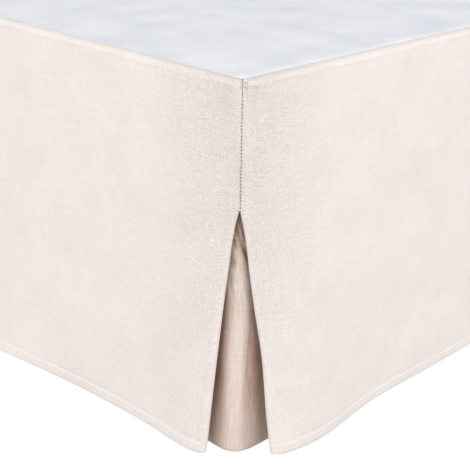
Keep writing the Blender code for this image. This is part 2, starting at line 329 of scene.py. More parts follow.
@dataclass(frozen=True)
class WovenCloth:
    """A plain-weave cloth, read from its own unrolled map in metres."""

    name: str
    colour: Colour
    blush: Colour
    shade: Colour
    yarn: float = 0.00052
    yarn_wobble: float = 0.00035
    slub: float = 0.85
    warp_share: float = 1.0
    weft_share: float = 1.0
    warp_slub: tuple[float, float] = (0.0012, 0.034)
    weft_slub: tuple[float, float] = (0.036, 0.0013)
    mottle: float = 0.55
    crinkle: float = 1.85
    crinkle_reach: float = 0.135
    crinkle_fall: float = 0.38
    crinkle_tone: float = 0.34
    # Painted shade near the corner seam, strongest towards the top; a negative value paints light.
    seam_painted_shade: float = 0.42
    # How far a pleat insert's painted-shade attribute darkens the colour towards the shade colour.
    pleat_painted_shade: float = 0.0
    shade_level: float = 0.40
    relief: float = 0.0004
    drags: float = 1.0
    roughness: float = 0.88
    sheen: float = 0.12

    def material(self) -> bpy.types.Material:
        """Builds the cloth's material.

        Returns:
            The material, ready to put on.
        """
        nodes = Nodes(self.name)
        across, down, _ = nodes.axes(nodes.get("UVMap", 0, {"uv_map": CLOTH_UV}))
        place = nodes.point(across, down)
        # On a pleat insert the seam attribute holds its share of painted shade, not a distance.
        seam, top = nodes.attribute(SEAM_AND_SHADE_ATTRIBUTE), nodes.attribute(DOWN_ATTRIBUTE)
        fall = nodes.falloff(top, self.crinkle_fall) * 0.7 + 0.3
        near = nodes.falloff(seam, self.crinkle_reach) * fall
        weave, slubs = self.yarns(nodes, across, down)
        crinkle = self.crinkles(nodes, across, down, near)
        if self.drags:
            crinkle = crinkle + self.drag_lines(nodes, seam, top) * self.drags
        patches = nodes.noise(place, 17.0, 3.0, 0.55)
        tone = slubs * self.slub + patches * self.mottle + weave * 0.10
        # Painted shade: darker near the corner seam, strongest towards the top, and on a pleat insert darker
        # by its painted-shade attribute; a negative seam value paints light.
        tone = tone + crinkle * self.crinkle_tone + near * self.seam_painted_shade + seam * self.pleat_painted_shade
        warmth = nodes.noise(nodes.point(across, down, 3.0), 24.0, 2.0) * 2.6 + 0.5
        ground = nodes.blend(nodes.clamped(warmth), opaque(self.colour), opaque(self.blush))
        share = nodes.clamped(tone + self.shade_level)
        nodes.bump(weave * 0.16 + slubs * 0.40 + crinkle * 0.50, 0.9, self.relief)
        return nodes.finish(
            {
                "Base Color": nodes.blend(share, ground, opaque(self.shade)),
                "Roughness": self.roughness,
                "Sheen Weight": self.sheen,
                "Sheen Roughness": 0.5,
                "Specular IOR Level": 0.25,
            }
        )

    def yarns(self, nodes: Nodes, across: Socket, down: Socket) -> tuple[Socket, Socket]:
        """The crossing yarns, and the thick and thin places along them.

        Args:
            nodes: The material's nodes.
            across: Distance along the cloth.
            down: Distance down the cloth.

        Returns:
            The weave's height and the slubs' height, each centred on 0.
        """
        wobble = nodes.noise(nodes.point(across, down), 260.0, 1.0) * self.yarn_wobble
        warp = nodes.wave((across + wobble) / (2 * self.yarn))
        weft = nodes.wave((down + wobble) / (2 * self.yarn))
        wide, long = self.warp_slub
        warp_slub = nodes.noise(nodes.point(across / wide, down / long), 1.0, 3.0, 0.6)
        long, wide = self.weft_slub
        weft_slub = nodes.noise(nodes.point(across / long, down / wide, 7.0), 1.0, 3.0, 0.6)
        return warp * weft * 0.5, warp_slub * self.warp_share + weft_slub * self.weft_share

    def crinkles(self, nodes: Nodes, across: Socket, down: Socket, near: Socket) -> Socket:
        """Fine wavy crinkles that whirl like a thumb print, strongest near the corner.

        Args:
            nodes: The material's nodes.
            across: Distance along the cloth.
            down: Distance down the cloth.
            near: 1 at the corner, 0 where the cloth lies smooth.

        Returns:
            Heights from about -1 to 1.
        """
        whirl = nodes.noise(nodes.point(across, down), 44.0, 1.0) * 5.0
        lengthwise = nodes.wave(down / 0.0034 + whirl)
        cross_whirl = nodes.noise(nodes.point(across, down, 9.0), 36.0, 1.0) * 4.0
        crosswise = nodes.wave(across / 0.0033 + cross_whirl)
        share = nodes.clamped(nodes.noise(nodes.point(across, down, 5.0), 30.0, 1.0) * 3.4 + 0.5)
        ripple = lengthwise * share + crosswise * (1 - share)
        crease = nodes.noise(nodes.point(across, down * 0.8), 310.0, 2.0, 0.62)
        grain = nodes.noise(nodes.point(across, down * 1.2, 4.0), 620.0, 1.0)
        return (ripple * 0.30 + crease * 2.9 + grain * 1.5) * (near * 0.82 + 0.18) * self.crinkle

    def drag_lines(self, nodes: Nodes, seam: Socket, top: Socket) -> Socket:
        """Fine pulled lines that fall away from the corner seam over a strip of painted shade beside it, and
        a patch of painted shade with a soft bump at its top, where the cloth is drawn in below the tack.

        Args:
            nodes: The material's nodes.
            seam: Distance from the corner seam.
            top: Distance down from the deck's seam.

        Returns:
            Heights, 0 away from the seam; they also darken the colour, so the strip and the patch are painted
            shade.
        """
        fall = nodes.maths("POWER", seam, 0.8) * 0.95
        stray = nodes.noise(nodes.point(seam, top, 2.0), 70.0, 1.0) * 1.6
        lines = nodes.wave((top - fall) / 0.0048 + stray)
        from_middle = nodes.maths("ABSOLUTE", top - 0.090)
        # Beside the seam the lines sit on an even painted shade.
        beside = nodes.falloff(seam, 0.017) * nodes.falloff(from_middle, 0.095)
        # Painted shade, with a soft bump, where the cloth is drawn in below the tack.
        from_tack = nodes.maths("ABSOLUTE", top - 0.023)
        tack_pucker_shade = nodes.falloff(seam, 0.024) * nodes.falloff(from_tack, 0.022)
        return (lines * 1.5 + 1.1) * beside + tack_pucker_shade * 2.6


@dataclass(frozen=True)
class SewingThread:
    """Twisted cotton thread."""

    name: str
    colour: Colour
    roughness: float = 0.6

    def material(self) -> bpy.types.Material:
        """Builds the thread's material.

        Returns:
            The material, ready to put on.
        """
        nodes = Nodes(self.name)
        place = nodes.get("TexCoord", "Object")
        tone = nodes.noise(place, 900.0, 1.0) + 0.5
        dark = tuple(value * 0.8 for value in self.colour)
        twisted = nodes.blend(tone, opaque(self.colour), opaque(dark))
        nodes.bump(tone, 0.5, 0.0002)
        return nodes.finish({"Base Color": twisted, "Roughness": self.roughness, "Sheen Weight": 0.1})


@dataclass(frozen=True)
class TurnedWood:
    """Satin lacquered beech with its grain along the leg."""

    name: str
    colour: Colour
    dark: Colour

    def material(self) -> bpy.types.Material:
        """Builds the wood's material.

        Returns:
            The material, ready to put on.
        """
        nodes = Nodes(self.name)
        x, y, z = nodes.axes(nodes.get("TexCoord", "Object"))
        figure = nodes.noise(nodes.point(x * 9.0, y * 9.0, z), 9.0, 4.0, 0.6)
        fleck = nodes.noise(nodes.point(x * 30.0, y * 30.0, z * 2.0), 24.0, 2.0)
        rings = nodes.wave((x + y * 0.6 + figure * 0.02) / 0.0062)
        share = nodes.clamped(figure * 1.1 + rings * 0.16 + fleck * 0.5 + 0.45)
        nodes.bump(fleck + rings * 0.15, 0.35, 0.0003)
        return nodes.finish(
            {
                "Base Color": nodes.blend(share, opaque(self.colour), opaque(self.dark)),
                "Roughness": share * 0.16 + 0.34,
                "Coat Weight": 0.25,
                "Coat Roughness": 0.3,
            }
        )


@dataclass(frozen=True)
class BaseTicking:
    """A close twill cover cloth, read from the piece's own place in metres."""

    name: str
    colour: Colour
    shade: Colour
    rib: float = 0.0016

    def material(self) -> bpy.types.Material:
        """Builds the cover cloth's material.

        Returns:
            The material, ready to put on.
        """
        nodes = Nodes(self.name)
        place = nodes.get("TexCoord", "Object")
        x, y, z = nodes.axes(place)
        twill = nodes.wave((x + y + z) / self.rib)
        slub = nodes.noise(nodes.point(x * 30.0, y * 30.0, z * 900.0), 1.0, 3.0)
        patches = nodes.noise(place, 9.0, 3.0)
        share = nodes.clamped(twill * 0.16 + slub * 0.9 + patches * 0.7 + 0.45)
        cover = nodes.blend(share, opaque(self.colour), opaque(self.shade))
        nodes.bump(twill * 0.3 + slub * 0.6, 0.8, 0.0004)
        return nodes.finish({"Base Color": cover, "Roughness": 0.9, "Sheen Weight": 0.15})


# --------------------------------------------------------------------------- the skirt's shape


class Edge(Enum):
    """The two kinds of edge that the skirt hangs from."""

    FOOT = "foot"
    SIDE = "side"


@dataclass(frozen=True)
class SkirtCut:
    """The sizes that the whole skirt is cut and folded to."""

    left: float
    right: float
    foot: float
    head: float
    top: float
    hem: float = 0.006
    cloth: float = 0.0012
    corner_radius: float = 0.016
    land: float = 0.003
    roll: float = 0.006
    pleat_depth: float = 0.100
    deck_gap: float = 0.0004

    @classmethod
    def from_frame(cls) -> "SkirtCut":
        """Reads the outline from the deck, which is sewn inside it.

        Returns:
            The cut that fits the CAD solids.
        """
        low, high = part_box("deck")
        inset = cls.land + cls.roll + cls.deck_gap
        top = high.z - cls.cloth / 2
        return cls(low.x - inset, high.x + inset, low.y - inset, high.y, top)

    @property
    def width(self) -> float:
        """Width across the foot."""
        return self.right - self.left

    @property
    def length(self) -> float:
        """Length of a side."""
        return self.head - self.foot

    @property
    def drop_start(self) -> float:
        """Distance down the cloth to where it starts to hang."""
        return self.land + self.roll * math.pi / 2

    @property
    def drop_end(self) -> float:
        """Distance down the cloth to its hem."""
        return self.drop_start + self.top - self.roll - self.hem

    @property
    def seam_inset(self) -> float:
        """How far the seam with the deck lies in from the outline."""
        return self.roll + self.land

    def profile(self, down: Number) -> tuple[Array, Array, Array]:
        """Where the cloth runs in section.

        Args:
            down: Distances down the cloth from the seam with the deck.

        Returns:
            The inset from the outline, the height, and the tilt of the cloth's normal above level.
        """
        turned = np.clip((down - self.land) / self.roll, 0.0, math.pi / 2)
        tilt = math.pi / 2 - turned
        inset = self.roll * (1 - np.cos(tilt)) + np.maximum(self.land - down, 0.0)
        hung = np.maximum(down - self.drop_start, 0.0)
        return inset, self.top - self.roll * (1 - np.sin(tilt)) - hung, tilt

    def dropped(self, down: Number) -> Array:
        """Share of the drop, from 0 at the roll to 1 at the hem."""
        return np.maximum(down - self.drop_start, 0.0) / (self.drop_end - self.drop_start)

    def place(self, run: Number, out: Number, down: Number, edge: Edge, hand: int) -> Array:
        """Puts cloth round a foot corner.

        Args:
            run: Distance along the outline from the corner seam.
            out: How far the cloth stands out from the outline.
            down: Distance down the cloth.
            edge: Which edge the cloth hangs along.
            hand: 1 for the right corner, -1 for the left one.

        Returns:
            Points, with x, y and z last.
        """
        inset, height, tilt = self.profile(down)
        inboard = inset - out * np.cos(tilt)
        height = height + out * np.sin(tilt)
        radius = self.corner_radius
        half_arc = radius * math.pi / 4
        turned = math.pi / 4 * (1 - np.minimum(run / half_arc, 1.0))
        reach = radius - inboard
        along = radius - reach * np.sin(turned) + np.maximum(run - half_arc, 0.0)
        across = radius - reach * np.cos(turned)
        if edge is Edge.SIDE:
            along, across = across, along
        x = self.right - along if hand > 0 else self.left + along
        return np.stack(np.broadcast_arrays(x, self.foot + across, height), axis=-1)


@dataclass(frozen=True)
class Slit:
    """How one panel's folded edge leaves the corner below the sewn seam."""

    top: float
    spread: float
    curve: float
    bulge: float = 0.0
    bulge_height: float = 0.115
    bulge_width: float = 0.035

    def edge(self, cut: SkirtCut, down: Number) -> Array:
        """Distance from the corner seam to the folded edge.

        Args:
            cut: The skirt's cut.
            down: Distances down the cloth.

        Returns:
            Distances along the outline.
        """
        height = cut.profile(down)[1]
        opened = np.maximum(self.top - height, 0.0) / (self.top - cut.hem)
        bulge = self.bulge * bell(height - self.bulge_height, self.bulge_width)
        return self.spread * opened**self.curve + bulge


@dataclass(frozen=True)
class HemBand:
    """A narrow turned hem: its stitch line draws the cloth in, and the band below stands proud."""

    height: float = 0.0127
    groove: float = 0.00045
    groove_width: float = 0.0011
    swell: float = 0.00055

    def at(self, above: Number, along: Number) -> Array:
        """How far the hem moves the cloth out.

        Args:
            above: Height above the hem's edge.
            along: Distance along the hem.

        Returns:
            Distances out.
        """
        tug = 1 + 0.5 * Unevenness(31, 0.017, 1.0, 1.0).at(along, 0.5)
        swollen = self.swell * ease((self.height - above) / 0.003)
        rolled = -0.0005 * ease((0.003 - above) / 0.003)
        return swollen + rolled - self.groove * tug * bell(above - self.height, self.groove_width)


@dataclass(frozen=True)
class TopRidge:
    """The seam allowance under the top edge, which lifts a soft ridge with a fine furrow below."""

    lift: float = 0.0004
    middle: float = 0.0085
    width: float = 0.0024
    furrow: float = 0.0003
    furrow_down: float = 0.0135

    def at(self, down: Number, along: Number) -> Array:
        """How far the ridge moves the cloth out, by distance down and along.

        Args:
            down: Distance down the cloth.
            along: Distance along the cloth.

        Returns:
            How far the cloth stands out.
        """
        uneven = 1 + Unevenness(41, 0.045, 1.0, 0.35).at(along, 0.5)
        ridge = self.lift * uneven * bell(down - self.middle, self.width)
        return ridge - self.furrow * uneven * bell(down - self.furrow_down, 0.0018)


@dataclass(frozen=True)
class PleatFold:
    """A panel's edge beside a corner: the fold and the return behind it."""

    cut: SkirtCut
    slit: Slit
    radius_top: float = 0.0008
    radius_hem: float = 0.0036
    seam_gap: float = 0.0004
    return_out_top: float = -0.0022
    return_out_hem: float = -0.0034
    settles_over: float = 0.030
    return_columns: int = 13
    fold_columns: int = 9

    def columns(self, down: Array, face_out: Array) -> tuple[Array, Array]:
        """The return, then the fold.

        Args:
            down: Distances down the cloth, one to a row.
            face_out: How far the panel's edge stands out at each row.

        Returns:
            run and out, with a row for each distance down.
        """
        cut = self.cut
        share = cut.dropped(down)
        radius = mix(self.radius_top, self.radius_hem, share)
        inset = cut.profile(down)[0]
        stretch = cut.corner_radius / (cut.corner_radius - inset)
        centre = self.slit.edge(cut, down) + stretch * ((cut.cloth + self.seam_gap) / 2 + radius)
        far = np.linspace(1.0, 0.0, self.return_columns, endpoint=False) ** 1.5
        return_run = mix(centre, cut.pleat_depth, far)
        settled = mix(self.return_out_top, self.return_out_hem, share)
        eased = ease((return_run - centre) / self.settles_over)
        return_out = mix(face_out - 2 * radius, settled, eased)
        angle = np.linspace(0.0, math.pi, self.fold_columns)
        fold_run = centre - stretch * radius * np.sin(angle)
        fold_out = face_out - radius - radius * np.cos(angle)
        return np.hstack([return_run, fold_run]), np.hstack([return_out, fold_out])


def cloth_rows(cut: SkirtCut) -> Array:
    """Distances down the cloth, close together at the roll and at the hem.

    Args:
        cut: The skirt's cut.

    Returns:
        The distances, one to a row.
    """
    below_roll, above_hem = cut.drop_start + 0.020, cut.drop_end - 0.026
    places = (0.0, cut.land, cut.drop_start, below_roll, above_hem)
    steps = zip(places, places[1:], (2, 9, 12, 108))
    stretches = [np.linspace(start, end, count, endpoint=False) for start, end, count in steps]
    return np.hstack([*stretches, np.linspace(above_hem, cut.drop_end, 23)])[:, None]


def growing_steps(length: float, first: float, growth: float, widest: float, dense: float) -> Array:
    """Distances that start close together and grow wider.

    Args:
        length: The last distance.
        first: The first step.
        growth: Each later step's ratio to the one before.
        widest: The most that a step may be.
        dense: How far the first step is kept.

    Returns:
        Distances above 0, ending exactly at the length.
    """
    found, step, run = [], first, 0.0
    while run + step * 1.5 < length:
        if run > dense:
            step = min(step * growth, widest)
        run += step
        found.append(run)
    found[-1] = length
    return np.array(found)


class ClothPiece:
    """A sheet of cloth made from rows of points, with its own unrolled map."""

    def __init__(self, name: str, points: Array, unrolled: Array, seam: Array, down: Array) -> None:
        """Makes the mid-surface.

        Args:
            name: The piece's name.
            points: Rows of points, with x, y and z last.
            unrolled: Each point's place in the flat cloth, in metres.
            seam: Each point's distance from the nearest folded edge, or on a pleat insert its share of
                painted shade.
            down: Each point's distance down from the top seam.
        """
        rows, columns = points.shape[:2]
        index = np.arange(rows * columns).reshape(rows, columns)
        quads = np.stack([index[:-1, :-1], index[1:, :-1], index[1:, 1:], index[:-1, 1:]], axis=-1)
        mesh = bpy.data.meshes.new(name)
        mesh.from_pydata(points.reshape(-1, 3).tolist(), [], quads.reshape(-1, 4).tolist())
        corners = np.empty(len(mesh.loops), dtype=np.int32)
        mesh.loops.foreach_get("vertex_index", corners)
        flat = unrolled.reshape(-1, 2)[corners]
        mesh.uv_layers.new(name=CLOTH_UV).data.foreach_set("uv", flat.astype(np.float32).ravel())
        for label, values in ((SEAM_AND_SHADE_ATTRIBUTE, seam), (DOWN_ATTRIBUTE, down)):
            spread = np.broadcast_to(values, (rows, columns)).astype(np.float32)
            mesh.attributes.new(label, "FLOAT", "POINT").data.foreach_set("value", spread.ravel())
        self.object = bpy.data.objects.new(name, mesh)
        bpy.context.collection.objects.link(self.object)

    def thicken(self, thickness: float) -> None:
        """Gives the sheet its even thickness, half to each side.

        Args:
            thickness: How thick the cloth is.
        """
        select_only(self.object)
        solid = self.object.modifiers.new("thickness", "SOLIDIFY")
        solid.thickness = thickness
        solid.offset = 0.0
        solid.use_even_offset = True
        bpy.ops.object.modifier_apply(modifier=solid.name)
        bpy.ops.object.shade_smooth()


def select_only(piece: bpy.types.Object) -> None:
    """Selects one object and makes it active.

    Args:
        piece: The piece to work on.
    """
    bpy.ops.object.select_all(action="DESELECT")
    piece.select_set(True)
    bpy.context.view_layer.objects.active = piece


def dress(
    piece: bpy.types.Object, material: bpy.types.Material, replaced: Sequence[str] = ()
) -> None:
    """Gives a piece its finish and ties it to the frame.

    Args:
        piece: The finished object.
        material: Its finish.
        replaced: CAD nodes that it stands for.
    """
    piece.data.materials.clear()
    piece.data.materials.append(material)
    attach(piece, BODY)
    if replaced:
        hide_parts(*replaced)
    log.info("%s: %d faces", piece.name, len(piece.data.polygons))


@dataclass(frozen=True)
class Drape:
    """What shapes a panel's face: its broad folds, its hem and ridge, and small unevenness."""

    cut: SkirtCut
    slit: Slit
    folds: tuple[SoftFold, ...]
    dents: tuple[Dent, ...]
    seed: int
    hem_flare: float = 0.003
    flare_power: float = 1.35
    edge_curl: float = 0.005
    curl_reach: float = 0.014
    crimp_reach: float = 0.080
    press: float = 0.0002
    press_line: float = 0.0066
    hem_band: HemBand = HemBand()
    ridge: TopRidge = TopRidge()

    def hang(self, along: Array, run: Array, down: Array) -> Array:
        """How far the panel stands out in its broad shape.

        Args:
            along: Distance along the panel from where its folds are measured.
            run: Distance along the outline from the corner seam.
            down: Distance down the cloth.

        Returns:
            Distances out from the outline.
        """
        out = self.hem_flare + sum(fold.at(along) for fold in self.folds)
        beyond = np.maximum(run - self.slit.edge(self.cut, down), 0.0)
        out = out - self.edge_curl * np.exp(-beyond / self.curl_reach)
        return out * self.cut.dropped(down) ** self.flare_power

    def fine(self, along: Array, run: Array, down: Array) -> Array:
        """The smaller shapes: hem, ridge, pressed edge, dents and unevenness.

        Args:
            along: Distance along the panel.
            run: Distance from the panel's folded edge.
            down: Distance down the cloth.

        Returns:
            Distances out from the broad shape.
        """
        cut = self.cut
        fade = ease(run / 0.004)
        above = cut.drop_end - down
        shape = self.hem_band.at(above, along) + self.ridge.at(down, along) * ease(run / 0.012)
        broad = Unevenness(self.seed, along=0.085, down=0.110, height=0.0011).at(along, down)
        soft = Unevenness(self.seed + 1, along=0.034, down=0.042, height=0.00035).at(along, down)
        crimp = Unevenness(self.seed + 2, along=0.0085, down=0.0120, height=0.00012).at(along, down)
        crimp = crimp * np.exp(-run / self.crimp_reach)
        hangs = ease((down - cut.drop_start) / 0.05) * ease(above / 0.02 + 0.3)
        pressed = -self.press * bell(run - self.press_line, 0.0018) * ease((down - 0.12) / 0.05)
        tucked = sum(dent.at(run, down) for dent in self.dents)
        return shape + fade * ((broad + soft + crimp) * hangs + pressed + tucked)


@dataclass(frozen=True)
class Panel:
    """A straight drop panel with a pleat return at one or both of its ends."""

    cut: SkirtCut
    drape: Drape
    name: str
    hand: int = 1
    map_start: float = 0.0
    first_step: float = 0.0015
    step_growth: float = 1.05
    widest_step: float = 0.014
    dense: float = 0.045

    @property
    def rows(self) -> Array:
        """Distances down the cloth, one to a row."""
        return cloth_rows(self.cut)

    def half(self, length: float, far: Callable[[Array], Array]) -> tuple[Array, Array, Array]:
        """The cloth from one corner's return to a distance along the panel.

        Args:
            length: Distance along the outline from the corner seam to the last column.
            far: Turns a run into the distance at which the drape is read.

        Returns:
            run, out, and the unrolled distance, with a row for each distance down.
        """
        down = self.rows
        fold = PleatFold(self.cut, self.drape.slit)
        edge = self.drape.slit.edge(self.cut, down)
        edge_out = self.drape.hang(far(edge), edge, down)
        run, out = fold.columns(down, edge_out)
        steps = growing_steps(length, self.first_step, self.step_growth, self.widest_step, self.dense)
        first = run[:, -1:]
        face_run = mix(first, length, steps / length)
        along = far(face_run)
        face_out = self.drape.hang(along, face_run, down)
        face_out = face_out + self.drape.fine(along, face_run - first, down)
        run, out = np.hstack([run, face_run]), np.hstack([out, face_out])
        flat = np.zeros_like(run)
        flat[:, 1:] = np.cumsum(np.hypot(np.diff(run), np.diff(out)), axis=1)
        turn = fold.return_columns + fold.fold_columns // 2
        return run, out, flat - flat[:, turn : turn + 1]

    def finish(
        self, points: Array, unrolled: Array, seam: Array, material: bpy.types.Material, width: float
    ) -> Array:
        """Args:
            points: Rows of points, with x, y and z last.
            unrolled: Each point's place in the flat cloth.
            seam: Each point's distance from the nearest folded edge.
            material: The cloth's finish.
            width: Length of the panel as cut; not used.

        Returns:
            The points of the row that the hem's stitches follow.
        """
        piece = ClothPiece(f"{self.name}_cloth", points, unrolled, seam, self.rows)
        piece.thicken(self.cut.cloth)
        dress(piece.object, material, [self.name])
        self.cut.drop_end
        above = self.cut.drop_end - self.rows[:, 0]
        return points[int(np.argmin(np.abs(above - self.drape.hem_band.height)))]


@dataclass(frozen=True)
class SidePanel(Panel):
    """The long panel down one side, open at the head."""

    def build(self, material: bpy.types.Material) -> Array:
        """Makes the panel from the foot corner to the head, and returns its hem's stitch line.

        Args:
            material: The cloth's finish.

        Returns:
            The line of the hem's stitches.
        """
        cut = self.cut
        corner_gain = cut.corner_radius * (1 - math.pi / 4)
        length = cut.length - corner_gain
        run, out, flat = self.half(length, lambda along: along)
        points = cut.place(run, out, self.rows, Edge.SIDE, self.hand)
        unrolled = np.stack(np.broadcast_arrays(flat + self.map_start, -self.rows), axis=-1)
        return self.finish(points, unrolled, np.maximum(flat, 0.0), material, length + cut.pleat_depth)


@dataclass(frozen=True)
class FootPanel(Panel):
    """The panel across the foot, with a pleat return at each corner."""

    def build(self, material: bpy.types.Material) -> Array:
        """Makes both halves from their corners, joins them, and returns the hem's stitch line.

        Args:
            material: The cloth's finish.

        Returns:
            The line of the hem's stitches.
        """
        cut = self.cut
        length = cut.width - 2 * cut.corner_radius * (1 - math.pi / 4)
        right = self.half(length / 2, lambda along: along)
        left = self.half(length / 2, lambda along: length - along)
        right_points = cut.place(right[0], right[1], self.rows, Edge.FOOT, 1)
        left_points = cut.place(left[0], left[1], self.rows, Edge.FOOT, -1)
        points = np.concatenate([right_points, left_points[:, -2::-1]], axis=1)
        whole = right[2][:, -1:] + left[2][:, -1:]
        flat = np.hstack([right[2], whole - left[2][:, -2::-1]])
        seam = np.hstack([right[2], left[2][:, -2::-1]])
        unrolled = np.stack(np.broadcast_arrays(flat, -self.rows), axis=-1)
        width = length + 2 * cut.pleat_depth
        return self.finish(points, unrolled, np.maximum(seam, 0.0), material, width)


@dataclass(frozen=True)
class Turn:
    """One part of the bend that takes a pleat insert round its corner.

    Start and end are shares of a plain round bend's length from its middle; negative ones lie on
    the foot side. The last value is its share of the right angle.
    """

    start: float
    end: float
    share: float

    def at(self, place: Array) -> Array:
        """Share of the right angle turned so far."""
        return self.share * ease((place - self.start) / (self.end - self.start))


@dataclass(frozen=True)
class PleatInsert:
    """The piece behind a corner's slit, wrapped round the corner of the base."""

    cut: SkirtCut
    hand: int
    out_top: float = -0.0044
    out_hem: float = -0.0190
    end_out_hem: float = -0.0062
    fall_power: float = 1.5
    radius_hem: float = 0.034
    reach: float = 0.104
    near: float = 0.050
    columns: int = 161
    # The next ten fields set the painted shade in the pleat: the pale band's half width, how fast each flank
    # darkens and how dark the side flank goes, where and how much the shade lifts toward the hem, and the
    # painted shade at the slit's narrow top. band_sway moves the pale band across the slit at each height.
    band_half: float = 0.003
    foot_fade: float = 0.014
    side_fade: float = 0.008
    side_painted_shade: float = 0.80
    opens_at: float = 0.30
    opens_over: float = 0.075
    hem_shade_lift: float = 0.52
    narrow_to: float = 0.140
    narrow_over: float = 0.060
    top_painted_shade: float = 0.85
    sharp_from: float = 0.14
    sharp_over: float = 0.12
    band_sway: tuple[tuple[float, float], ...] = (
        (0.150, -0.0070),
        (0.186, -0.0010),
        (0.220, 0.0020),
        (0.275, -0.0025),
        (0.330, -0.0030),
    )
    turns: tuple[Turn, ...] = (Turn(-0.75, -0.16, 0.46), Turn(-0.06, 0.12, 0.30), Turn(0.16, 0.75, 0.24))
    crumples: tuple[Dent, ...] = (
        Dent(0.0000, 0.165, 0.0045, 0.0160, -0.0026, 0.00),
        Dent(0.0005, 0.146, 0.0012, 0.0070, -0.0020, 0.30),
        Dent(-0.0035, 0.158, 0.0014, 0.0060, 0.0030, 0.55),
        Dent(-0.0008, 0.162, 0.0010, 0.0090, -0.0022, 0.50),
        Dent(0.0022, 0.156, 0.0010, 0.0120, 0.0018, 0.42),
        Dent(0.0035, 0.164, 0.0013, 0.0100, 0.0022, 0.42),
        Dent(-0.0075, 0.178, 0.0036, 0.0030, 0.0030, 0.10),
        Dent(-0.0050, 0.197, 0.0040, 0.0022, 0.0016, 0.30),
        Dent(-0.0030, 0.186, 0.0011, 0.0090, -0.0014, -0.30),
        Dent(0.0020, 0.200, 0.0015, 0.0140, -0.0008, 0.20),
        Dent(-0.0080, 0.206, 0.0018, 0.0120, 0.0014, 0.15),
    )

    @property
    def name(self) -> str:
        """The CAD node that this piece stands for."""
        return "pleat_insert_right" if self.hand > 0 else "pleat_insert_left"

    @property
    def rows(self) -> Array:
        """Distances down the cloth, one to a row."""
        return cloth_rows(self.cut)

    def standing(self, share: Array) -> Array:
        """How far the insert stands out from the outline, by share of the drop."""
        return mix(self.out_top, self.out_hem, share**self.fall_power)

    def heading(self, signed: Array, length: Array, sharp: Array) -> Array:
        """Which way the cloth runs in plan.

        Args:
            signed: Distance across the insert from its middle.
            length: Length of a plain round bend, at each row.
            sharp: 0 for a plain round bend, 1 for the insert's own turns.

        Returns:
            Angles, from 0 along the foot to a right angle along the side.
        """
        place = signed / length
        plain = np.clip(place + 0.5, 0.0, 1.0)
        folded = sum(turn.at(place) for turn in self.turns)
        return mix(plain, folded, sharp) * math.pi / 2

    def path(self, signed: Array) -> tuple[Array, Array, Array]:
        """The insert's line in plan at each row, and its height.

        Args:
            signed: Distance across the insert from its middle, foot side negative.

        Returns:
            Distance from the corner along the foot edge, distance along the side edge, and heading.
        """
        cut, down = self.cut, self.rows
        share = cut.dropped(down)
        inset, _, tilt = cut.profile(down)
        offset = inset - self.standing(share) * np.cos(tilt)
        radius = mix(cut.corner_radius, self.radius_hem, share) - offset
        sharp = ease((down - self.sharp_from) / self.sharp_over)
        heading = self.heading(signed, radius * math.pi / 2, sharp)
        step = np.diff(signed, axis=1)
        middle = (heading[:, 1:] + heading[:, :-1]) / 2
        start = np.zeros_like(signed[:, :1])
        towards_side = np.hstack([start, np.cumsum(step * np.cos(middle), axis=1)])
        up_side = np.hstack([start, np.cumsum(step * np.sin(middle), axis=1)])
        from_side = towards_side[:, -1:] - towards_side + offset
        return from_side, up_side + offset, heading

    def pleat_painted_shade(self, signed: Array) -> Array:
        """Painted shade in the pleat, 0 on the middle's pale band and 1 where the slit is darkest.

        Args:
            signed: Distance across the insert from its middle.

        Returns:
            Shares of painted shade, with a row for each distance down.
        """
        down = self.rows
        places, sways = zip(*self.band_sway)
        aside = signed - np.interp(down, places, sways)
        foot_side = ease((-aside - self.band_half) / self.foot_fade)
        far_side = ease((aside - self.band_half) / self.side_fade) * self.side_painted_shade
        # Painted shade lifts toward the hem and is added at the slit's narrow top.
        opened = 1 - self.hem_shade_lift * ease((down - self.opens_at) / self.opens_over)
        narrow = self.top_painted_shade * (1 - ease((down - self.narrow_to) / self.narrow_over))
        return np.minimum((foot_side + far_side) * opened + narrow, 1.0)

    def build(self, material: bpy.types.Material) -> None:
        """Makes the insert from its foot end, round the corner, to its side end.

        Args:
            material: The cloth's finish.
        """
        cut = self.cut
        share = cut.dropped(self.rows)
        across = np.linspace(-1.0, 1.0, self.columns)
        signed = np.sign(across) * np.abs(across) ** 1.5 * self.reach + np.zeros_like(self.rows)
        from_side, from_foot, heading = self.path(signed)
        _, height, tilt = cut.profile(self.rows)
        run = np.abs(signed)
        end_out = share * self.end_out_hem - self.standing(share) + (1 - share) * self.out_top
        out = end_out * ease((run - self.near) / (self.reach - self.near))
        out = out + sum(fold.at(signed, self.rows) for fold in self.crumples)
        out = out + HemBand(groove=0.0002, swell=0.0002).at(cut.drop_end - self.rows, signed)
        uneven = Unevenness(71 + self.hand, along=0.016, down=0.060, height=0.0005)
        out = out + uneven.at(signed + 0.2, self.rows) * ease((self.rows - 0.05) / 0.08)
        from_side = from_side - out * np.sin(heading) * np.cos(tilt)
        from_foot = from_foot - out * np.cos(heading) * np.cos(tilt)
        x = cut.right - from_side if self.hand > 0 else cut.left + from_side
        z = height + self.standing(share) * np.sin(tilt)
        points = np.stack(np.broadcast_arrays(x, cut.foot + from_foot, z), axis=-1)
        unrolled = np.stack(np.broadcast_arrays(signed + 0.5, -self.rows), axis=-1)
        # The seam attribute carries the painted shade.
        piece = ClothPiece(f"{self.name}_cloth", points, unrolled, self.pleat_painted_shade(signed), self.rows)
        piece.thicken(cut.cloth)
        dress(piece.object, material, [self.name])
        size = (2 * self.reach, cut.drop_end)


